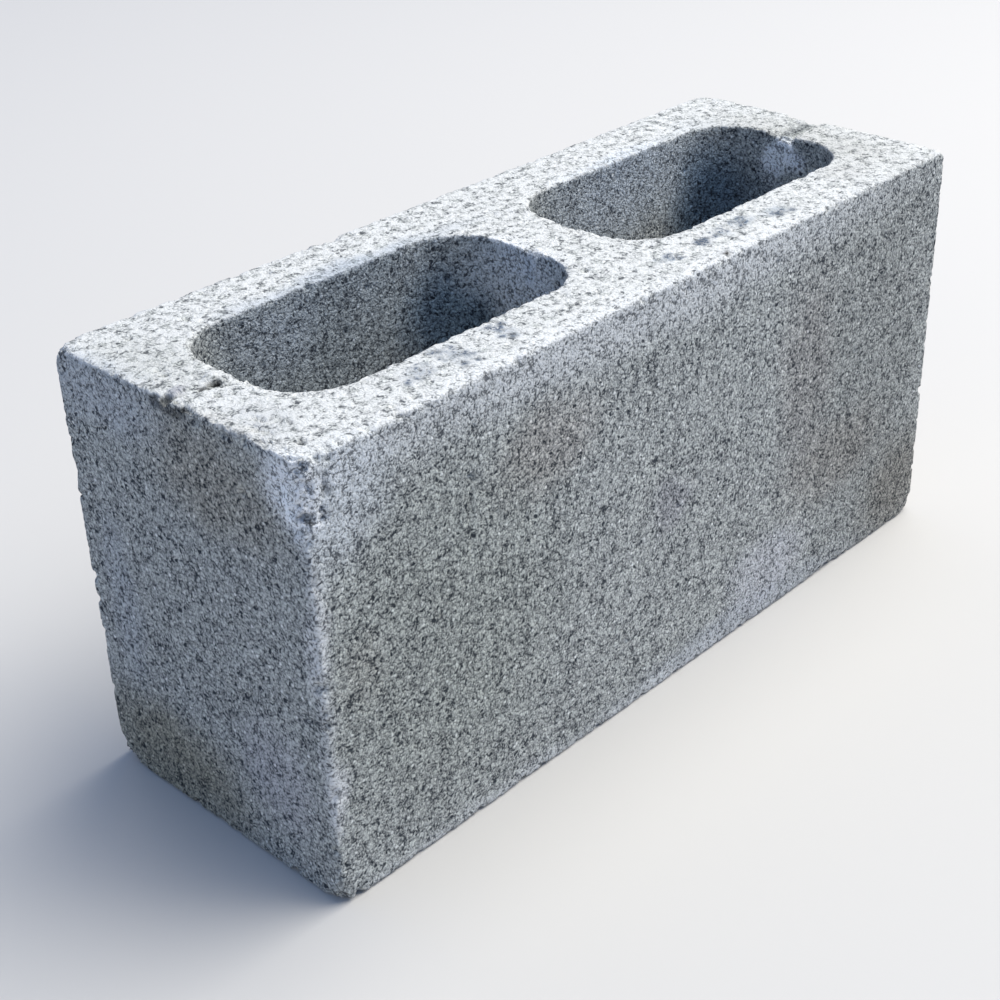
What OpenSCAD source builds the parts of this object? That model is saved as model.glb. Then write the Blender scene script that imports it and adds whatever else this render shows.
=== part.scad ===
// Hollow concrete block with two cores, cast as one piece.
// It stands on its bed as it is laid: the length runs along X, the width along Y and the
// height along Z. The origin is at the middle of the bed.

/* [Block] */
// Length of the block, end to end
block_l = 396.9; // [280:0.1:600]
// Width of the block, face to face
block_w = 142.9; // [110:0.1:300]
// Height of the block, bed to top
block_h = 193.7; // [80:0.1:300]
// Radius that the mould leaves on every outer arris
arris_r = 1.5; // [0.5:0.1:4]

/* [Shells and webs] */
// Thickness of each face shell at the top of the block, where it is thinnest
face_shell_t = 32; // [15:0.5:40]
// Thickness of each end web at the top of the block
end_web_t = 28.5; // [15:0.5:45]
// Thickness of the web between the cores at the top of the block
centre_web_t = 32; // [15:0.5:60]

/* [Cores] */
// Radius of the four corners of each core at the top of the block
core_corner_r = 26; // [12:0.5:30]
// How far each core wall leans in on its way down, so that the cores draw out of the mould
core_taper = 2; // [0.5:0.1:6]

/* [Mark of the core bar] */
// Width of the shallow groove left across the webs by the bar that holds the cores
bar_mark_w = 9; // [4:0.5:20]
// Depth of that groove
bar_mark_d = 1.5; // [0.5:0.1:4]

/* [Hidden] */
$fn = 48;
concrete_colour = "#A3A7A9";
// How far each core cutter runs past the top and the bed
past = 5;
core_l = (block_l - 2 * end_web_t - centre_web_t) / 2;
core_w = block_w - 2 * face_shell_t;
// Distance of each core's axis from the middle of the block
core_x = (core_l + centre_web_t) / 2;
// Corner radius of a core, which its half width limits
corner_r = min(core_corner_r, core_w / 2 - 1);

// Rectangle with round corners, centred on the origin
module round_rectangle(l, w, r) {
    square([l - 2 * r, w], center = true);
    square([l, w - 2 * r], center = true);
    for (sx = [-1, 1], sy = [-1, 1])
        translate([sx * (l / 2 - r), sy * (w / 2 - r)]) circle(r);
}

// The block without its cores. Its plan, its face and its end each have an outline with
// round corners, so that all twelve arrises are round.
module outer_form() {
    intersection() {
        linear_extrude(block_h)
            round_rectangle(block_l, block_w, arris_r);
        translate([0, 0, block_h / 2]) rotate([90, 0, 0])
            linear_extrude(2 * block_w, center = true)
                round_rectangle(block_l, block_h, arris_r);
        translate([0, 0, block_h / 2]) rotate([90, 0, 90])
            linear_extrude(2 * block_l, center = true)
                round_rectangle(block_w, block_h, arris_r);
    }
}

// A core's half width or corner radius at height z, from the same size at the block's top
function leaned(size_at_top, z) = size_at_top - core_taper * (1 - z / block_h);

// Upright section of a core through its axis, with a wall leaning in on each side
module core_section(half_at_top) {
    low = leaned(half_at_top, -past);
    high = leaned(half_at_top, block_h + past);
    polygon([[-low, -past], [low, -past], [high, block_h + past], [-high, block_h + past]]);
}

// One core, as two bars with leaning walls that cross, and a cone in each of the corners.
// The cones stand upright, so the corners get tighter on the way down as the walls lean in.
module core() {
    rotate([90, 0, 0])
        linear_extrude(core_w - 2 * corner_r, center = true) core_section(core_l / 2);
    rotate([90, 0, 90])
        linear_extrude(core_l - 2 * corner_r, center = true) core_section(core_w / 2);
    for (sx = [-1, 1], sy = [-1, 1])
        translate([sx * (core_l / 2 - corner_r), sy * (core_w / 2 - corner_r), -past])
            cylinder(h = block_h + 2 * past,
                     r1 = leaned(corner_r, -past),
                     r2 = leaned(corner_r, block_h + past));
}

// The groove of the core bar, along the middle of the block's top from end to end
module core_bar_mark() {
    translate([-block_l, -bar_mark_w / 2, block_h - bar_mark_d])
        cube([2 * block_l, bar_mark_w, 2 * bar_mark_d]);
}

module block() {
    color(concrete_colour) difference() {
        outer_form();
        for (sx = [-1, 1])
            translate([sx * core_x, 0, 0]) core();
        core_bar_mark();
    }
}

block();
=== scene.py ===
# Visual model of a hollow concrete block: its cast surface, its crumbled arrises and its
# concrete.
import math
import random

import bmesh
import bpy
from mathutils import Matrix, Vector, noise


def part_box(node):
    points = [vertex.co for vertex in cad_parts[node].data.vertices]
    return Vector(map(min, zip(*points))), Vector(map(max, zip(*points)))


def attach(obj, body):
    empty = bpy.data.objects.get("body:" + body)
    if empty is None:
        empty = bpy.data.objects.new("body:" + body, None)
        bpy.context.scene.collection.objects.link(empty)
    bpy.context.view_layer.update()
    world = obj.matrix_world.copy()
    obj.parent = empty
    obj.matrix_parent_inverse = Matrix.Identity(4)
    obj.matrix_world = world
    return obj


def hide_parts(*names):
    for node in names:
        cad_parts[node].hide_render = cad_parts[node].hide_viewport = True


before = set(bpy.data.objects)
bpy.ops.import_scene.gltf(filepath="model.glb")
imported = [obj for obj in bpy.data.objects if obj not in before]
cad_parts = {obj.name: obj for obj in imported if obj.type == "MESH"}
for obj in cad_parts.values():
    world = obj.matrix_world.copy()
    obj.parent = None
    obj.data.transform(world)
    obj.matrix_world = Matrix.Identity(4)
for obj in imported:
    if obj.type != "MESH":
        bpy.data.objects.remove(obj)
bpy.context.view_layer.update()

# ---- The view ------------------------------------------------------------------------------
# The camera looks down on the left end, the long face and the top from 0.8 m away, and leans
# two degrees to one side.
LENS_MM = 62.2
SENSOR_MM = 36
CAMERA_AT = Vector((-0.5035, -0.4627, 0.4619))
TURN = math.radians(-45.43)
LOOK_DOWN = math.radians(30.06)
LEAN = math.radians(-2.05)

camera_data = bpy.data.cameras.new("camera")
camera_data.lens = LENS_MM
camera_data.sensor_width = SENSOR_MM
camera = bpy.data.objects.new("camera", camera_data)
camera.matrix_world = (Matrix.Translation(CAMERA_AT) @ Matrix.Rotation(TURN, 4, "Z")
                       @ Matrix.Rotation(math.pi / 2 - LOOK_DOWN, 4, "X")
                       @ Matrix.Rotation(LEAN, 4, "Z"))
bpy.context.scene.collection.objects.link(camera)
bpy.context.scene.camera = camera

# ---- The casting ---------------------------------------------------------------------------
# The block is one piece of stiff concrete, pressed into a steel mould and pushed straight
# out. It starts as the plain form of the mould, covered in an even mesh that is fine enough
# for single grains.
MM = 0.001
HAIR = 0.001 * MM
GRAIN_MESH = 1.05 * MM
BAR_MARK_WIDTH = 9 * MM
BAR_MARK_DEPTH = 1.5 * MM

low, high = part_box("block")
length, width, height = high - low
form = bmesh.new()
form.from_mesh(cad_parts["block"].data)
bmesh.ops.remove_doubles(form, verts=form.verts, dist=HAIR)
# The mark of the core bar is filled here and pressed in again later, ragged.
for vert in form.verts:
    if abs(vert.co.y) < BAR_MARK_WIDTH and vert.co.z > height - 1.1 * BAR_MARK_DEPTH:
        vert.co.z = height
block = bpy.data.objects.new("concrete_block", bpy.data.meshes.new("concrete_block"))
form.to_mesh(block.data)
form.free()
bpy.context.scene.collection.objects.link(block)


def make_real(obj):
    """Turns what an object's modifiers give into its own mesh."""
    shown = obj.evaluated_get(bpy.context.evaluated_depsgraph_get())
    plain = obj.data
    obj.data = bpy.data.meshes.new_from_object(shown)
    obj.data.name = plain.name
    obj.modifiers.clear()
    bpy.data.meshes.remove(plain)


remesh = block.modifiers.new("grain_mesh", "REMESH")
remesh.mode = "VOXEL"
remesh.voxel_size = GRAIN_MESH
make_real(block)

# ---- Mark of the core bar ------------------------------------------------------------------
# The bar that holds the cores in the mould lies across the webs while the top is tamped. It
# leaves a ragged groove with a steep near side and a far side that climbs slowly: narrow,
# cracked and slanting on the left web, faint on the centre web, wide on the right one.
MARK_EDGE = -BAR_MARK_WIDTH / 2
MARK_REACH = 30 * MM
PRESSED_UNDER = 8 * MM
SLANT = 0.34
SLANT_MIDDLE = -185.3 * MM
SLANT_STOPS = -100 * MM
RAGGED = 0.5 * MM
RAGGED_SIZE = 4 * MM
WANDER = 0.9 * MM
WANDER_SIZE = 6 * MM
LIP = 0.6 * MM
LIP_WIDTH = 3.5 * MM
NEAR_SIDE = 0.8 * MM
FAINT = 0.7
FAINT_REACH = 30 * MM
# How wide and how deep the far side is at the left end, and how much more at the right, in mm.
CLIMB_LEFT, CLIMB_MORE = 8, 14
SHELF_LEFT, SHELF_MORE = 1.0, 1.5
# The crack under the near side, in mm: how deep, how far past the edge, and its half width.
CRACK_DEPTH, CRACK_PAST, CRACK_HALF = 1.6, 1.3, 1.2


def mark_depth(x, y):
    """How deep the core bar's groove is at a place on the webs."""
    ragged = noise.noise(Vector((x, y, 0)) / RAGGED_SIZE)
    slant = SLANT * (x - SLANT_MIDDLE) if x < SLANT_STOPS else 0
    wander = WANDER * noise.noise(Vector((x / WANDER_SIZE, 3, 0)))
    past_edge = y - MARK_EDGE + slant + RAGGED * ragged + wander
    if past_edge < 0:
        return -LIP * max(1 + past_edge / LIP_WIDTH, 0) * (0.5 + ragged)
    to_right = ((length / 2 + x) / length) ** 2
    climb = (CLIMB_LEFT + CLIMB_MORE * to_right) * MM
    shelf = max(1 - past_edge / climb, 0) * (SHELF_LEFT + SHELF_MORE * to_right)
    in_crack = math.exp(-((past_edge / MM - CRACK_PAST) / CRACK_HALF) ** 2)
    crack = CRACK_DEPTH * in_crack * max(0.5 + 1.8 * ragged, 0)
    clear = 1 - FAINT * math.exp(-(x / FAINT_REACH) ** 2)
    return min(past_edge / NEAR_SIDE, 1) * (shelf + crack + 0.5 * ragged) * clear * MM


def top_at(co):
    """The height of the block's top above its bed at a point."""
    if abs(co.y) > MARK_REACH:
        return height
    return height - mark_depth(co.x, co.y)


# ---- Crumbled arrises, corners and rims ----------------------------------------------------
# Stiff concrete has little paste to hold its edges, so grains fall from every arris as the
# mould draws, and handling rounds the corners. Each arris gets a radius that changes from
# grain to grain, and grows towards the corners that took knocks.
CORE_ROUND = 26 * MM
CORE_LEAN = 2 * MM
END_WEB = 28.5 * MM
CENTRE_WEB = 32 * MM
FACE_SHELL = 32 * MM
ARRIS_SHARPEST = 0.5 * MM
ARRIS_CRUMBLE = 4 * MM
CRUMB = 3.2 * MM
FINE_CRUMB = 1.7 * MM
CRUMBLED_PATCH = 17 * MM
ARRIS_BITE = 12 * MM
BITE_LENGTH = 5.5 * MM
WORN_REACH = 12 * MM
# Core rims crumble less than arrises do, and long arrises lose fewer bites than their ends.
RIM_CRUMBLE = 0.6
RIM_BITES = 0.2
LONG_ARRIS_BITES = 0.55
ARRIS_END = 15 * MM

core_l = (length - 2 * END_WEB - CENTRE_WEB) / 2
core_w = width - 2 * FACE_SHELL
core_x = (core_l + CENTRE_WEB) / 2

# Knocks: the place on the block, how big a radius the knock left, and how far it reaches.
left, right, front, back = -length / 2, length / 2, -width / 2, width / 2
KNOCKS = [
    (Vector((left, back, 0)), 9 * MM, 11 * MM),
    (Vector((left, front, 0)), 7 * MM, 9 * MM),
    (Vector((right, front, 0)), 6.5 * MM, 8 * MM),
    (Vector((right, back, 0)), 6 * MM, 8 * MM),
    (Vector((left, back, height)), 6 * MM, 8 * MM),
    (Vector((left, front, height)), 3.5 * MM, 7 * MM),
    (Vector((right, front, height)), 3 * MM, 6 * MM),
    (Vector((right, back, height)), 5 * MM, 7 * MM),
    (Vector((left, back, 153 * MM)), 4 * MM, 4 * MM),
    (Vector((left, back, 140 * MM)), 5 * MM, 5 * MM),
    (Vector((left, back, 62 * MM)), 4 * MM, 5 * MM),
    (Vector((left, front, 182 * MM)), 3.5 * MM, 9 * MM),
    (Vector((left, front, 170 * MM)), 3 * MM, 8 * MM),
    (Vector((left, front, 52 * MM)), 2 * MM, 9 * MM),
    (Vector((left, -12 * MM, height)), 2.5 * MM, 6 * MM),
    (Vector((left, 2.6 * MM, height)), 4 * MM, 4 * MM),
    (Vector((left, 34 * MM, height)), 2 * MM, 5 * MM),
    (Vector((34 * MM, front, height)), 4 * MM, 4 * MM),
    (Vector((-96 * MM, front, 0)), 3 * MM, 8 * MM),
    (Vector((121 * MM, front, 0)), 4 * MM, 9 * MM),
    (Vector((right, back, 104 * MM)), 5 * MM, 8 * MM),
    (Vector((right, 2 * MM, height)), 4 * MM, 6 * MM),
    (Vector((-60 * MM, back, height)), 4 * MM, 6 * MM),
    (Vector((75 * MM, back, 0)), 5 * MM, 9 * MM),
    (Vector((length / 2 - END_WEB, 0, height)), 5 * MM, 6 * MM),
    (Vector((-CENTRE_WEB / 2, -6 * MM, height)), 4.5 * MM, 3.5 * MM),
    (Vector((CENTRE_WEB / 2, 3 * MM, height)), 2 * MM, 4 * MM),
]


def core_wall(co):
    """How far a point is from the wall of the nearer core, and the way out into that core."""
    side = math.copysign(1, co.x)
    lean = CORE_LEAN * (1 - co.z / height)
    along = co.x - side * core_x
    past = Vector((max(abs(along) - core_l / 2 + CORE_ROUND, 0),
                   max(abs(co.y) - core_w / 2 + CORE_ROUND, 0), 0))
    if past.length == 0:
        past.y = HAIR
    out = Vector((-math.copysign(past.x, along), -math.copysign(past.y, co.y), 0)).normalized()
    return past.length - CORE_ROUND + lean, out


def arris_radius(co, at_core):
    """The radius that crumbling and knocks leave on an arris, or on a core's rim, near a point."""
    crumble = 0.42 + 0.8 * noise.noise(co / CRUMB) + 0.5 * noise.noise(co / FINE_CRUMB)
    crumble = min(max(crumble, 0), 1)
    patchy = 0.5 + 0.5 * noise.noise(co / CRUMBLED_PATCH)
    firm, loose = 1, 1
    if at_core:
        firm, loose = RIM_CRUMBLE, RIM_BITES
    elif abs(co.x) <= length / 2 - ARRIS_END:
        loose = LONG_ARRIS_BITES
    radius = ARRIS_SHARPEST + ARRIS_CRUMBLE * crumble ** 2 * (0.4 + patchy) * firm
    radius += ARRIS_BITE * loose * max(noise.noise(co / BITE_LENGTH) - 0.12, 0)
    for place, knock, reach in KNOCKS:
        away = (co - place).length
        if away < 2 * reach:
            radius += knock * math.exp(-(away / reach) ** 2) * (0.7 + 0.6 * crumble)
    return radius


def round_off(co):
    """Moves a point on an arris, rim or corner back to the rounded concrete."""
    gap, into_core = core_wall(co)
    walls = [(length / 2 - abs(co.x), Vector((math.copysign(1, co.x), 0, 0))),
             (width / 2 - abs(co.y), Vector((0, math.copysign(1, co.y), 0))),
             (co.z, Vector((0, 0, -1))), (top_at(co) - co.z, Vector((0, 0, 1))), (gap, into_core)]
    if sorted(wall[0] for wall in walls)[1] > WORN_REACH:
        return co
    radius = arris_radius(co, gap < WORN_REACH)
    push = sum((out * max(radius - depth, 0) for depth, out in walls), Vector())
    if push.length <= radius:
        return co
    return co - push.normalized() * (push.length - radius)


# ---- Holes and lumps -----------------------------------------------------------------------
# A few single marks: a hole where a stone fell out of the near arris, with pressed-out paste
# round it, and pits in the core bar's mark with the stone still lying by one of them.
# Each is a place, its half sizes in mm, and how far in mm it moves the surface each way.
MARKS = [
    ((left + 0.5 * MM, front + 0.5 * MM, 171.2 * MM), (3.4, 3.4, 2), (3.2, 3.2, -0.8)),
    ((left, -62 * MM, 175 * MM), (4, 2.2, 6), (-0.6, 0, 0)),
    ((left, -65.5 * MM, 169.5 * MM), (4, 4, 2.2), (-0.6, 0, 0)),
    ((left, -67.5 * MM, 163 * MM), (4, 4.5, 2.6), (-0.5, 0, 0)),
    ((left + 4 * MM, front, 167.2 * MM), (5.5, 4, 1.8), (0, -0.5, 0)),
    ((left + 8.3 * MM, front, 172.3 * MM), (1.8, 3, 1.8), (0, 1.8, 0)),
    ((left + 8.4 * MM, front, 168.6 * MM), (2.0, 3, 1.7), (0, 2, 0)),
    ((left + 10 * MM, front, 181 * MM), (1.2, 3, 5.5), (0, 1.2, 0)),
    ((-120.4 * MM, front, 155 * MM), (2.4, 3, 1.3), (0, 1.8, 0)),
    ((-121.4 * MM, front, 135 * MM), (1.1, 3, 22), (0, 0.7, 0)),
    ((left, 2.6 * MM, height), (4.5, 2.6, 4), (1.8, 0, -1.8)),
    ((-178.2 * MM, -1.6 * MM, height), (3.2, 2.3, 5), (0, 0, -3.2)),
    ((-176.5 * MM, 2.6 * MM, height), (3.6, 2.8, 5), (0, 0, 1.7)),
    ((-190.5 * MM, 3 * MM, height), (4.5, 2.8, 5), (0, 0, 1.3)),
    ((-183.2 * MM, -3.2 * MM, height), (2.6, 1.8, 5), (0, 0, -1.8)),
    ((-188 * MM, -60.5 * MM, height), (1.7, 2.4, 5), (0, 0, -1.4)),
    ((-190.6 * MM, front, height - 1 * MM), (1.8, 2.5, 2), (0, 1.4, -0.8)),
    ((-184 * MM, -11 * MM, height), (2.2, 1.3, 5), (0, 0, -1.6)),
    ((-186.5 * MM, -36 * MM, height), (1.4, 4, 5), (0, 0, -1.4)),
    ((-183 * MM, -41.5 * MM, height), (4, 1.3, 5), (0, 0, -1.4)),
    ((-192 * MM, -42 * MM, height), (2, 1.5, 5), (0, 0, -1.5)),
]
# The lower this is, the steeper are the sides of a mark.
MARK_SIDES = 0.7


def mark_off(co):
    """Moves a point into the hole, or out onto the lump, that it belongs to."""
    moved = Vector()
    for place, half, travel in MARKS:
        near = 1 - sum(((co[axis] - place[axis]) / (half[axis] * MM)) ** 2 for axis in range(3))
        if near > 0:
            moved += Vector(travel) * MM * (near * near * (3 - 2 * near)) ** MARK_SIDES
    return co + moved


# ---- Grain, pores and hollows --------------------------------------------------------------
# Sand and fine gravel pressed against steel: the grains lie flush, each a little deeper or
# shallower than the next, with gaps between them and open pores where paste was short. The
# tamped top is coarser than the moulded sides.
GRAIN = 2.4 * MM
GRAIN_DEPTH = 0.22 * MM
TOP_COARSER = 1.7
TOP_WIDER = 1.25
HOLLOW = 24 * MM
HOLLOW_DEPTH = 0.16 * MM
PORE_SPACING = 6 * MM
PORE_DEPTH = 1.5 * MM
PORE_SMALLEST = 0.08
PORE_GROWTH = 0.20
PORELESS = 0.15
PORE_BEND = 1.2 * MM
BEND_LENGTH = 3 * MM
PORE_SEED = 97.3


def relief(co, facing_up):
    """How deep the surface lies under the mould's plane at a point."""
    coarse, wide = (TOP_COARSER, TOP_WIDER) if facing_up > 0.7 else (1, 1)
    bent = co + Vector((PORE_BEND, 0, 0)) * noise.noise(co / BEND_LENGTH)
    depth = GRAIN_DEPTH * (0.8 + noise.noise(co / GRAIN)) * coarse
    depth += HOLLOW_DEPTH * (1 + noise.noise(co / HOLLOW))
    distances, points = noise.voronoi(bent / PORE_SPACING)
    chance = noise.cell(points[0] * PORE_SEED)
    if chance > PORELESS:
        pore = (PORE_SMALLEST + PORE_GROWTH * chance ** 2) * wide
        depth += PORE_DEPTH * max(1 - (distances[0] / pore) ** 2, 0) * (0.4 + 0.6 * chance)
    return depth


skin = bmesh.new()
skin.from_mesh(block.data)
for vert in skin.verts:
    if vert.co.z > height - PRESSED_UNDER:
        pressed = 1 - (height - vert.co.z) / PRESSED_UNDER
        vert.co.z -= pressed * (height - top_at(vert.co))
    vert.co = mark_off(round_off(vert.co))
skin.normal_update()
for vert in skin.verts:
    vert.co -= vert.normal * relief(vert.co, vert.normal.z)
skin.to_mesh(block.data)
skin.free()

# The even mesh is thinned where the concrete is flattest, down to a count that keeps its STL
# whole.
TRIANGLES = 194000
thin = block.modifiers.new("thin", "DECIMATE")
thin.ratio = TRIANGLES / (2 * len(block.data.polygons))
make_real(block)
block.data.shade_smooth()

# ---- Concrete ------------------------------------------------------------------------------
# Dry-cast concrete: crushed sand and fine gravel with just enough grey cement to coat them,
# so the eye gets pale grains, dark gaps between them and no sheen at all.
def linear(code):
    """A hex colour as the linear values that a shader takes."""
    parts = [int(code[i:i + 2], 16) / 255 for i in (1, 3, 5)]
    return [v / 12.92 if v <= 0.04045 else ((v + 0.055) / 1.055) ** 2.4 for v in parts] + [1]


def add_node(tree, kind, settings=None, **links):
    """Adds a shader node with its settings, and sets or links its inputs (i0 is the first)."""
    node = tree.nodes.new(kind)
    for name, value in (settings or {}).items():
        setattr(node, name, value)
    for name, value in links.items():
        socket = node.inputs[int(name[1:]) if name[1:].isdigit() else name]
        if isinstance(value, bpy.types.NodeSocket):
            tree.links.new(value, socket)
        else:
            socket.default_value = value
    return node


# The finest sand is under half a millimetre across and would not show, so it is drawn at about
# one millimetre.
SAND = 1.4 * MM
SAND_BEND = 2.2 * MM
BEND_SIZE = 1.9 * MM
FINEST_SAND = 0.95 * MM
CLUMP = 3.6 * MM
GAP_SPACING = 3.0 * MM
STONE = 5.5 * MM
OPEN_PATCH = 8 * MM
SPECK_SPACING = 5.5 * MM
DUST_PATCH = 4.5 * MM
DUST_WHOLE = 0.7 * MM
DUST_GONE = 2.6 * MM
BUMP_HEIGHT = 0.5 * MM
# The mould's walls drag faint upright streaks into the sides.
DRAG_WIDTH = 2.5 * MM
DRAG_LENGTH = 45 * MM

concrete = bpy.data.materials.new("dry_cast_concrete")
concrete.use_nodes = True
tree = concrete.node_tree
tree.nodes.clear()
place = add_node(tree, "ShaderNodeTexCoord").outputs["Object"]
height_up = add_node(tree, "ShaderNodeSeparateXYZ", Vector=place).outputs["Z"]

# Grains: cells pushed out of shape, each with its own height and tone.
ripple = add_node(tree, "ShaderNodeTexNoise", Vector=place, Scale=1 / BEND_SIZE, Detail=0.0)
wobble = add_node(tree, "ShaderNodeVectorMath", {"operation": "MULTIPLY_ADD"},
                  i0=ripple.outputs["Color"], i1=(SAND_BEND,) * 3, i2=place)
sand = add_node(tree, "ShaderNodeTexVoronoi", Vector=wobble.outputs[0], Scale=1 / SAND)
sand_own = add_node(tree, "ShaderNodeSeparateColor", Color=sand.outputs["Color"])
grit = add_node(tree, "ShaderNodeTexNoise", Vector=place, Scale=1 / FINEST_SAND, Detail=1.0,
                Roughness=0.6)
clump = add_node(tree, "ShaderNodeTexNoise", Vector=place, Scale=1 / CLUMP, Detail=0.0)
along_draw = add_node(tree, "ShaderNodeMapping", Vector=place,
                      Scale=(1 / DRAG_WIDTH, 1 / DRAG_WIDTH, 1 / DRAG_LENGTH))
drag = add_node(tree, "ShaderNodeTexNoise", Vector=along_draw.outputs[0], Scale=1.0, Detail=1.0)
level = grit.outputs["Fac"]
for source, weight in ((sand_own.outputs[0], 0.30), (sand.outputs["Distance"], -0.55),
                       (clump.outputs["Fac"], 0.20), (drag.outputs["Fac"], 0.20)):
    level = add_node(tree, "ShaderNodeMath", {"operation": "MULTIPLY_ADD"},
                     i0=source, i1=weight, i2=level).outputs[0]

# Gaps: some cells of a wider pattern hold a round pit of random size, sunk in the bump and drawn
# dark in the colour as painted shade.
gaps = add_node(tree, "ShaderNodeTexVoronoi", Vector=wobble.outputs[0], Scale=1 / GAP_SPACING)
gaps_own = add_node(tree, "ShaderNodeSeparateColor", Color=gaps.outputs["Color"])
gap_size = add_node(tree, "ShaderNodeMapRange", i0=gaps_own.outputs[1], i1=0.3, i2=1.0,
                    i3=0.0, i4=0.42)
gap_depth = add_node(tree, "ShaderNodeMath", {"operation": "SUBTRACT"},
                     i0=gap_size.outputs[0], i1=gaps.outputs["Distance"])
gap = add_node(tree, "ShaderNodeMapRange", {"interpolation_type": "SMOOTHSTEP"},
               i0=gap_depth.outputs[0], i1=0.0, i2=0.2, i3=0.0, i4=1.0)
pitted = add_node(tree, "ShaderNodeMath", {"operation": "MULTIPLY_ADD"},
                  i0=gap.outputs[0], i1=-0.55, i2=level)

# Hairlines: short curved gaps round the bigger stones, in patches.
stones = add_node(tree, "ShaderNodeTexVoronoi", {"feature": "DISTANCE_TO_EDGE"},
                  Vector=wobble.outputs[0], Scale=1 / STONE)
hairline = add_node(tree, "ShaderNodeMapRange", {"interpolation_type": "SMOOTHSTEP"},
                    i0=stones.outputs["Distance"], i1=0.03, i2=0.09, i3=1.0, i4=0.0)
patchy = add_node(tree, "ShaderNodeTexNoise", Vector=place, Scale=1 / OPEN_PATCH, Detail=1.0)
open_here = add_node(tree, "ShaderNodeMapRange", i0=patchy.outputs["Fac"], i1=0.5, i2=0.62,
                     i3=0.0, i4=0.4)
cracked = add_node(tree, "ShaderNodeMath", {"operation": "MULTIPLY"}, i0=hairline.outputs[0],
                   i1=open_here.outputs[0])
relief_level = add_node(tree, "ShaderNodeMath", {"operation": "MULTIPLY_ADD"},
                        i0=cracked.outputs[0], i1=-0.5, i2=pitted.outputs[0])

# Tone: low places are dark paste, with painted shade in the pits, high places are pale grain, and
# a few grains shine out.
tone_by = add_node(tree, "ShaderNodeMapRange", i0=relief_level.outputs[0], i1=0.22, i2=0.93,
                   i3=0.0, i4=1.0)
tone = add_node(tree, "ShaderNodeMix", {"data_type": "RGBA"}, i0=tone_by.outputs[0],
                i6=linear("#363B41"), i7=linear("#CFD2CE"))
specks = add_node(tree, "ShaderNodeTexVoronoi", Vector=place, Scale=1 / SPECK_SPACING)
speck = add_node(tree, "ShaderNodeMapRange", {"interpolation_type": "SMOOTHSTEP"},
                 i0=specks.outputs["Distance"], i1=0.07, i2=0.17, i3=0.75, i4=0.0)
colour = add_node(tree, "ShaderNodeMix", {"data_type": "RGBA"}, i0=speck.outputs[0],
                  i6=tone.outputs[2], i7=linear("#EEF0EE")).outputs[2]

# The struck top is paler: fine dust and laitance lie on it, thinner in places, but not down in
# its pits. Part of this paleness is painted light, for the top's brightness under the lamp.
struck = add_node(tree, "ShaderNodeMapRange", {"interpolation_type": "SMOOTHSTEP"},
                  i0=height_up, i1=height - DUST_GONE, i2=height - DUST_WHOLE, i3=0.0, i4=0.9)
cover = add_node(tree, "ShaderNodeTexNoise", Vector=place, Scale=1 / DUST_PATCH, Detail=1.0)
dust = add_node(tree, "ShaderNodeMath", {"operation": "MULTIPLY_ADD"},
                i0=tone_by.outputs[0], i1=0.24, i2=cover.outputs["Fac"])
dust_on = add_node(tree, "ShaderNodeMapRange", i0=dust.outputs[0], i1=0.42, i2=0.70,
                   i3=0.12, i4=1.0)
dust_and_top_light = add_node(tree, "ShaderNodeMath", {"operation": "MULTIPLY"}, i0=struck.outputs[0],
                  i1=dust_on.outputs[0])
colour = add_node(tree, "ShaderNodeMix", {"data_type": "RGBA"}, i0=dust_and_top_light.outputs[0],
                  i6=colour, i7=linear("#D2D3D2")).outputs[2]

# Stains and painted shade tint the concrete; films of lime, paste and dirt, and of painted light
# and shade, cover its grains, not its gaps.
stain_and_painted_shade = add_node(tree, "ShaderNodeAttribute", {"attribute_name": "stain_and_painted_shade"})
colour = add_node(tree, "ShaderNodeMix", {"data_type": "RGBA", "blend_type": "MULTIPLY"},
                  i0=1.0, i6=colour, i7=stain_and_painted_shade.outputs["Color"]).outputs[2]
film_and_painted_light_and_shade = add_node(tree, "ShaderNodeAttribute", {"attribute_name": "film_and_painted_light_and_shade"})
catches = add_node(tree, "ShaderNodeMapRange", i0=tone_by.outputs[0], i1=0.15, i2=0.75,
                   i3=0.25, i4=1.5)
film_on = add_node(tree, "ShaderNodeMath", {"operation": "MULTIPLY", "use_clamp": True},
                   i0=film_and_painted_light_and_shade.outputs["Alpha"], i1=catches.outputs[0])
colour = add_node(tree, "ShaderNodeMix", {"data_type": "RGBA"}, i0=film_on.outputs[0],
                  i6=colour, i7=film_and_painted_light_and_shade.outputs["Color"]).outputs[2]

bump = add_node(tree, "ShaderNodeBump", Height=pitted.outputs[0], Strength=1.0,
                Distance=BUMP_HEIGHT)
surface = add_node(tree, "ShaderNodeBsdfPrincipled", **{"Base Color": colour,
                   "Roughness": 0.95, "Specular IOR Level": 0.25, "Normal": bump.outputs[0]})
add_node(tree, "ShaderNodeOutputMaterial", Surface=surface.outputs[0])
block.data.materials.clear()
block.data.materials.append(concrete)
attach(block, "root")
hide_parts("block")

# ---- Stains, lime bloom, rubs, painted light and shade -------------------------------------
# Lime has dried as a pale film along some arrises and where paste was smeared, dirt has darkened
# and warmed other places, and the dust is rubbed off the struck top in spots. Painted shade
# darkens holes, grooves and the deep parts of both cores, and painted light brightens the foot
# of the front and one wall of the left core.
# Each patch is a place, its half sizes in mm, its colour and how much of it there is.
DRIFT = 9 * MM
DRIFT_SIZE = 16 * MM
RAG = 3 * MM
RAG_SIZE = 3 * MM
EDGE_SEED = 7
core_end = core_x + core_l / 2
core_back = core_w / 2
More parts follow.
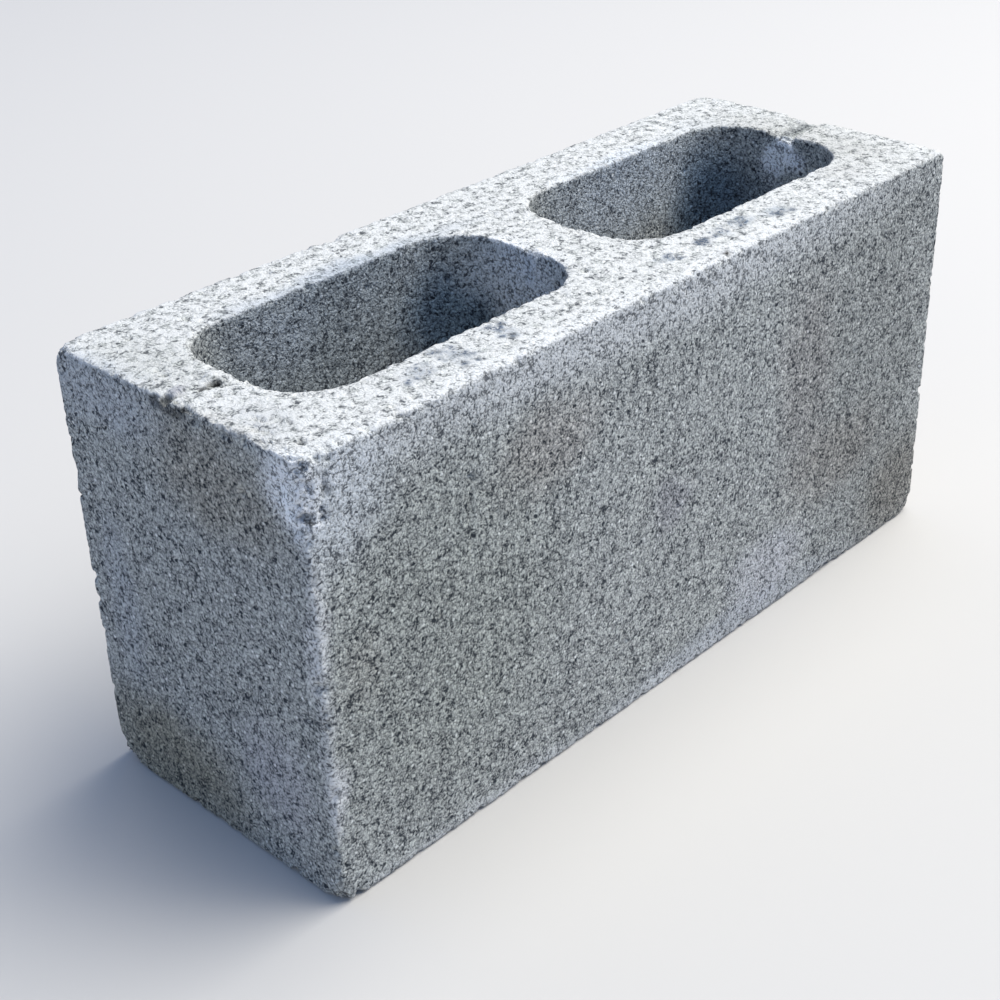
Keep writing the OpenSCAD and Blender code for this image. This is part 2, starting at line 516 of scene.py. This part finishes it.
# Lime bloom, and painted light at the front's foot and on one wall of the left core, as a film
# with drifting edges.
BLOOM_AND_PAINTED_LIGHT = [
    ((-25 * MM, front, height - 4 * MM), (215, 9, 20), "#D6D8DA", 0.50),
    ((left + 8 * MM, front, height - 20 * MM), (36, 9, 30), "#D0D5DA", 0.50),
    ((70 * MM, front, 24 * MM), (34, 9, 22), "#CBCCD4", 0.42),
    # Painted light: the next two draw the front's foot paler, as the pale floor lights it.
    ((50 * MM, front, 5 * MM), (95, 9, 12), "#B9BEC8", 0.35),
    ((-60 * MM, front, 0), (175, 9, 8), "#D4D7D8", 0.50),
    ((left, 50 * MM, 90 * MM), (9, 13, 42), "#B2BAC6", 0.25),
    ((left, -38 * MM, 46 * MM), (9, 24, 28), "#B4B3C0", 0.25),
    ((left, 44 * MM, height - 10 * MM), (9, 42, 20), "#BCC3CE", 0.30),
    ((left, front, 55 * MM), (7, 7, 26), "#DADBDC", 0.70),
    ((left, front, 115 * MM), (7, 7, 46), "#D8D9DA", 0.62),
    ((-118 * MM, core_back, 176 * MM), (26, 8, 22), "#B8C2D0", 0.20),
    ((98 * MM, core_back, 176 * MM), (62, 10, 30), "#C4D6F0", 0.22),
    # Painted light: the centre web's wall in the left core drawn pale near its rim, where light
    # falls in.
    ((-CENTRE_WEB / 2 - 7 * MM, 0, 179 * MM), (15, 32, 24), "#F0F3F8", 0.66),
]
# Dirt and warm or greenish tones, and painted shade deep in both cores, as a tint with drifting
# edges.
STAINS_AND_CORE_SHADE = [
    ((left, 32 * MM, 16 * MM), (9, 62, 34), "#D3CAB2", 0.75),
    ((left, -22 * MM, 168 * MM), (9, 44, 28), "#DDD2C2", 0.55),
    ((-78 * MM, front, 150 * MM), (34, 9, 22), "#EEE4E0", 0.6),
    ((94 * MM, front, 118 * MM), (26, 9, 56), "#E9E2E1", 0.6),
    ((122 * MM, front, 62 * MM), (48, 9, 24), "#E7DED9", 0.6),
    ((180 * MM, front, 22 * MM), (36, 9, 34), "#CBC2B9", 0.7),
    ((-140 * MM, front, 95 * MM), (80, 9, 90), "#DFE1D8", 0.5),
    ((150 * MM, front, 100 * MM), (62, 9, 120), "#DFDFDE", 0.7),
    ((-178 * MM, front, 100 * MM), (14, 9, 18), "#EADFD8", 0.25),
    # Painted shade: the back wall of the left core drawn darker and bluer.
    ((-80 * MM, core_back, 168 * MM), (80, 10, 50), "#DAE2EE", 0.9),
    ((-2 * MM, front, 92 * MM), (16, 9, 15), "#E4E0EA", 0.6),
    ((172 * MM, -10 * MM, height), (30, 62, 5), "#E6E5E2", 0.7),
    ((-184 * MM, 30 * MM, height), (22, 34, 5), "#E6E7E5", 0.6),
    # Painted shade: the next three draw the far ends of both cores darker and bluer, where shade
    # falls deep in them.
    ((core_end - 14 * MM, 28 * MM, 146 * MM), (30, 50, 46), "#A8BCD4", 0.9),
    ((core_end - 14 * MM, 32 * MM, 158 * MM), (24, 20, 26), "#C8D8E6", 1.0),
    ((-24 * MM, 32 * MM, 156 * MM), (30, 24, 28), "#BAD0E6", 1.0),
]
# Painted shade in holes, pits and the bar marks' grooves, and one pale stone, as a tint with crisp
# edges.
HOLE_SHADE_AND_STONE = [
    ((left + 1.8 * MM, front + 1.8 * MM, 170.6 * MM), (3.4, 3.4, 2.1), "#6E7270", 1.0),
    ((left + 8.4 * MM, front, 170.4 * MM), (2, 4, 3), "#6A6C6E", 0.8),
    ((left + 10 * MM, front, 181 * MM), (1.6, 4, 5.5), "#4A4E52", 0.9),
    ((-190.6 * MM, front, height - 1 * MM), (2, 2.5, 2), "#5E6266", 0.8),
    ((-188 * MM, -60.5 * MM, height), (1.8, 2.5, 4), "#6E7276", 0.8),
    ((-183 * MM, -2.6 * MM, height - 1 * MM), (2.8, 2.2, 3), "#4A4E54", 0.9),
    ((-177.6 * MM, -1.4 * MM, height - 3 * MM), (3.6, 2.4, 4), "#4A4C52", 1.0),
    ((left + 0.5 * MM, 2.6 * MM, height - 1.6 * MM), (3.2, 2.4, 2.6), "#4A4E54", 0.9),
    ((-190.5 * MM, 3.2 * MM, height), (5, 3.2, 4), "#C6C6D0", 0.8),
    ((184 * MM, 2 * MM, height - 1.5 * MM), (15, 4, 5), "#ABB0B6", 0.6),
]
# Smeared paste, dirt that lies over the bloom, and painted shade in two holes by the near arris,
# as a film with ragged edges.
SMEARS_AND_HOLE_SHADE = [
    ((left + 1 * MM, -64 * MM, 180 * MM), (8, 16, 17), "#E8EAEC", 0.84),
    ((left, -62 * MM, 177 * MM), (5, 2.4, 6), "#F0F4F8", 0.85),
    ((left, -63.5 * MM, 170.5 * MM), (5, 2.6, 3.6), "#F4F8FC", 0.90),
    ((left, -67 * MM, 168 * MM), (5, 3.6, 1.9), "#F4F8FC", 0.90),
    ((left, -67 * MM, 163 * MM), (5, 4.5, 2.2), "#D3D8DD", 0.60),
    ((left + 4 * MM, front, 167 * MM), (5.5, 5, 1.6), "#E2E5E8", 0.70),
    # Painted shade: a dark film down in a hole in the front face.
    ((left + 10.2 * MM, front, 181.2 * MM), (1.4, 4, 4.6), "#4A5056", 0.90),
    ((-CENTRE_WEB / 2, -4 * MM, 184 * MM), (5, 3, 9), "#C2CCDA", 0.40),
    ((core_end, 0, 187 * MM), (6, 6, 6), "#EEF2F6", 0.90),
    ((core_end, 4 * MM, 181 * MM), (6, 10, 8), "#F4F8FC", 0.90),
    ((core_end, 7 * MM, 174 * MM), (6, 7, 8), "#E4EAF2", 0.60),
    ((core_end, -7 * MM, 181 * MM), (5, 6, 6), "#EEF2F8", 0.80),
    # Painted shade: a dark film down in the hole in the near arris.
    ((left + 1.8 * MM, front + 1.8 * MM, 170.6 * MM), (3.4, 3.4, 2.1), "#363834", 1.0),
    ((33.4 * MM, -68.4 * MM, height), (3.8, 1.7, 4), "#2A2622", 1.0),
    ((142 * MM, -50 * MM, height), (13, 11, 6), "#A8A6A2", 0.25),
    ((-186 * MM, -38 * MM, height), (13, 18, 6), "#A2A6AC", 0.20),
]
# Places where the struck top was rubbed grey, each crossed by short scuffs.
RUBS = [
    ((-126 * MM, -52 * MM, height), (8, 6, 6), "#8993A2", 0.30),
    ((-107 * MM, -53 * MM, height), (6, 9, 6), "#7F8997", 0.40),
    ((-80 * MM, -52 * MM, height), (4.5, 8, 6), "#8590A0", 0.35),
    ((13 * MM, -55 * MM, height), (5, 3, 6), "#7C8B9A", 0.35),
    ((38 * MM, -54 * MM, height), (5, 2.5, 6), "#8491A0", 0.30),
    ((50 * MM, -54 * MM, height), (4, 5, 6), "#7C8B9A", 0.30),
    ((66 * MM, -52 * MM, height), (8, 5, 6), "#788898", 0.40),
    ((84 * MM, -56 * MM, height), (9, 5, 6), "#7C8B9A", 0.35),
]
SCUFFS = 8
SCUFF_WIDTH = 2.4 * MM
SCUFF_TONE = "#4E5866"
SCUFF_COVER = 0.95
SCUFF_SEED = 5
# Painted shade in the bar mark: how dark it gets, and from which depth over how many more mm.
CRACK_SHADE = 0.65
SHADE_FROM, SHADE_OVER = 1.2, 1.3
SHADE_STOPS = 6
# A patch fades over the last part of its reach, both counted in its half sizes.
REACH = 1.25
FADE = 0.9


def share(at, centre, half_mm):
    """How much of a patch lies at a place: all of it in its middle, none of it outside."""
    away = math.dist([at[axis] / half_mm[axis] for axis in range(3)],
                     [centre[axis] / half_mm[axis] for axis in range(3)]) / MM
    inside = min(max((REACH - away) / FADE, 0), 1)
    return inside * inside * (3 - 2 * inside)


def patches(places, centre, half_mm):
    """The vertices that a patch reaches, each with its share of it."""
    reach = [REACH * half * MM for half in half_mm]
    for index, at in places:
        if all(abs(at[axis] - centre[axis]) < reach[axis] for axis in range(3)):
            yield index, share(at, centre, half_mm)


def lay_film(index, tone, amount):
    """Lays more film on a vertex, over what already lies there."""
    total = film_share[index] * (1 - amount) + amount
    if total > 0:
        film_tone[index] = film_tone[index].lerp(tone, amount / total)
        film_share[index] = total


# The noise that moves the patches' edges is seeded, so that they come out the same each time.
noise.seed_set(EDGE_SEED)
exact = []
drifted = []
ragged = []
for vert in block.data.vertices:
    exact.append((vert.index, vert.co.copy()))
    drifted.append((vert.index, vert.co + DRIFT / 2 * noise.noise_vector(vert.co / DRIFT_SIZE)))
    ragged.append((vert.index, vert.co + RAG / 2 * noise.noise_vector(vert.co / RAG_SIZE)))
tint = [Vector((1, 1, 1)) for vert in block.data.vertices]
film_tone = [Vector(linear("#C0C6CE")[:3]) for vert in block.data.vertices]
film_share = [0] * len(tint)
for places, stains_and_shade in ((drifted, STAINS_AND_CORE_SHADE), (exact, HOLE_SHADE_AND_STONE)):
    for centre, half_mm, code, amount in stains_and_shade:
        toward = Vector(linear(code)[:3])
        for index, here in patches(places, centre, half_mm):
            tint[index] = tint[index] * (1 - amount * here) + tint[index] * toward * amount * here
for places, films in ((drifted, BLOOM_AND_PAINTED_LIGHT), (ragged, SMEARS_AND_HOLE_SHADE + RUBS)):
    for centre, half_mm, code, amount in films:
        for index, here in patches(places, centre, half_mm):
            lay_film(index, Vector(linear(code)[:3]), amount * here)

# Painted shade in the deep parts of the bar mark on the left web, where its crack lies in shade.
for index, at in exact:
    deep = (height - at.z) / MM
    if at.x < left + END_WEB - 2 * MM and abs(at.y) < 12 * MM and deep < SHADE_STOPS:
        tint[index] *= 1 - CRACK_SHADE * min(max((deep - SHADE_FROM) / SHADE_OVER, 0), 1)

# Short scuffs in the rubs, as where a stack was dragged across them.
scuffs = random.Random(SCUFF_SEED)
struck_front = [(index, at) for index, at in ragged
                if at.z > height - 5 * MM and at.y < front + FACE_SHELL]
for centre, half_mm in [rub[:2] for rub in RUBS]:
    for _ in range(SCUFFS):
        aside = Vector((scuffs.uniform(-1, 1) * half_mm[0], scuffs.uniform(-1, 1) * half_mm[1], 0))
        turn = Matrix.Rotation(scuffs.uniform(-1.1, 1.1), 3, "Z")
        scuff_half_mm = (scuffs.uniform(1.5, 4), SCUFF_WIDTH / 2 / MM, 6)
        for index, at in struck_front:
            here = share(turn @ (at - Vector(centre) - aside * MM), (0, 0, 0), scuff_half_mm)
            lay_film(index, Vector(linear(SCUFF_TONE)[:3]), SCUFF_COVER * here)
block.data.attributes.new("stain_and_painted_shade", "FLOAT_COLOR", "POINT")
block.data.attributes.new("film_and_painted_light_and_shade", "FLOAT_COLOR", "POINT")
for index in range(len(tint)):
    block.data.attributes["stain_and_painted_shade"].data[index].color = (*tint[index], 1)
    block.data.attributes["film_and_painted_light_and_shade"].data[index].color = (*film_tone[index], film_share[index])

# ---- The studio ----------------------------------------------------------------------------
# A round pale matt floor, one broad lamp high on the right, and weak ones that fill the left
# end and the back.
FLOOR_RADIUS = 2.2
floor = bpy.data.objects.new("floor", bpy.data.meshes.new("floor"))
ground = bmesh.new()
bmesh.ops.create_circle(ground, cap_ends=True, segments=96, radius=FLOOR_RADIUS)
ground.to_mesh(floor.data)
ground.free()
bpy.context.scene.collection.objects.link(floor)
paint = bpy.data.materials.new("matt_white_paint")
paint.use_nodes = True
painted = paint.node_tree.nodes["Principled BSDF"]
painted.inputs["Base Color"].default_value = linear("#C4C2BF")
painted.inputs["Roughness"].default_value = 0.9
floor.data.materials.append(paint)

# Each lamp: its name, where it stands, how wide it is, its power in watts and its colour.
LAMPS = [
    ("overhead", Vector((1.4, -0.75, 2.8)), 3, 199, "#FDF8EC"),
    ("left_fill", Vector((-2.8, -0.8, 1.2)), 2.2, 13, "#FFF9E0"),
    ("back_fill", Vector((0.6, 3, 1.2)), 2.2, 16, "#FFF2DC"),
]
for name, lamp_at, size, power, code in LAMPS:
    lamp_data = bpy.data.lights.new(name, "AREA")
    lamp_data.shape = "SQUARE"
    lamp_data.size = size
    lamp_data.energy = power
    lamp_data.color = linear(code)[:3]
    lamp = bpy.data.objects.new(name, lamp_data)
    aim = lamp_at.to_track_quat("Z", "Y").to_matrix().to_4x4()
    lamp.matrix_world = Matrix.Translation(lamp_at) @ aim
    bpy.context.scene.collection.objects.link(lamp)

# The room's light is bluish, but its far wall looks as pale as the floor.
world = bpy.data.worlds.new("room")
bpy.context.scene.world = world
world.use_nodes = True
world.node_tree.nodes.clear()
room = add_node(world.node_tree, "ShaderNodeBackground", Color=linear("#90BCFF"), Strength=0.5)
wall = add_node(world.node_tree, "ShaderNodeBackground", Color=linear("#ECEDEF"), Strength=1.0)
seen = add_node(world.node_tree, "ShaderNodeLightPath").outputs["Is Camera Ray"]
both = add_node(world.node_tree, "ShaderNodeMixShader", i0=seen, i1=room.outputs[0],
                i2=wall.outputs[0])
add_node(world.node_tree, "ShaderNodeOutputWorld", Surface=both.outputs[0])
bpy.context.scene.view_settings.view_transform = "Standard"
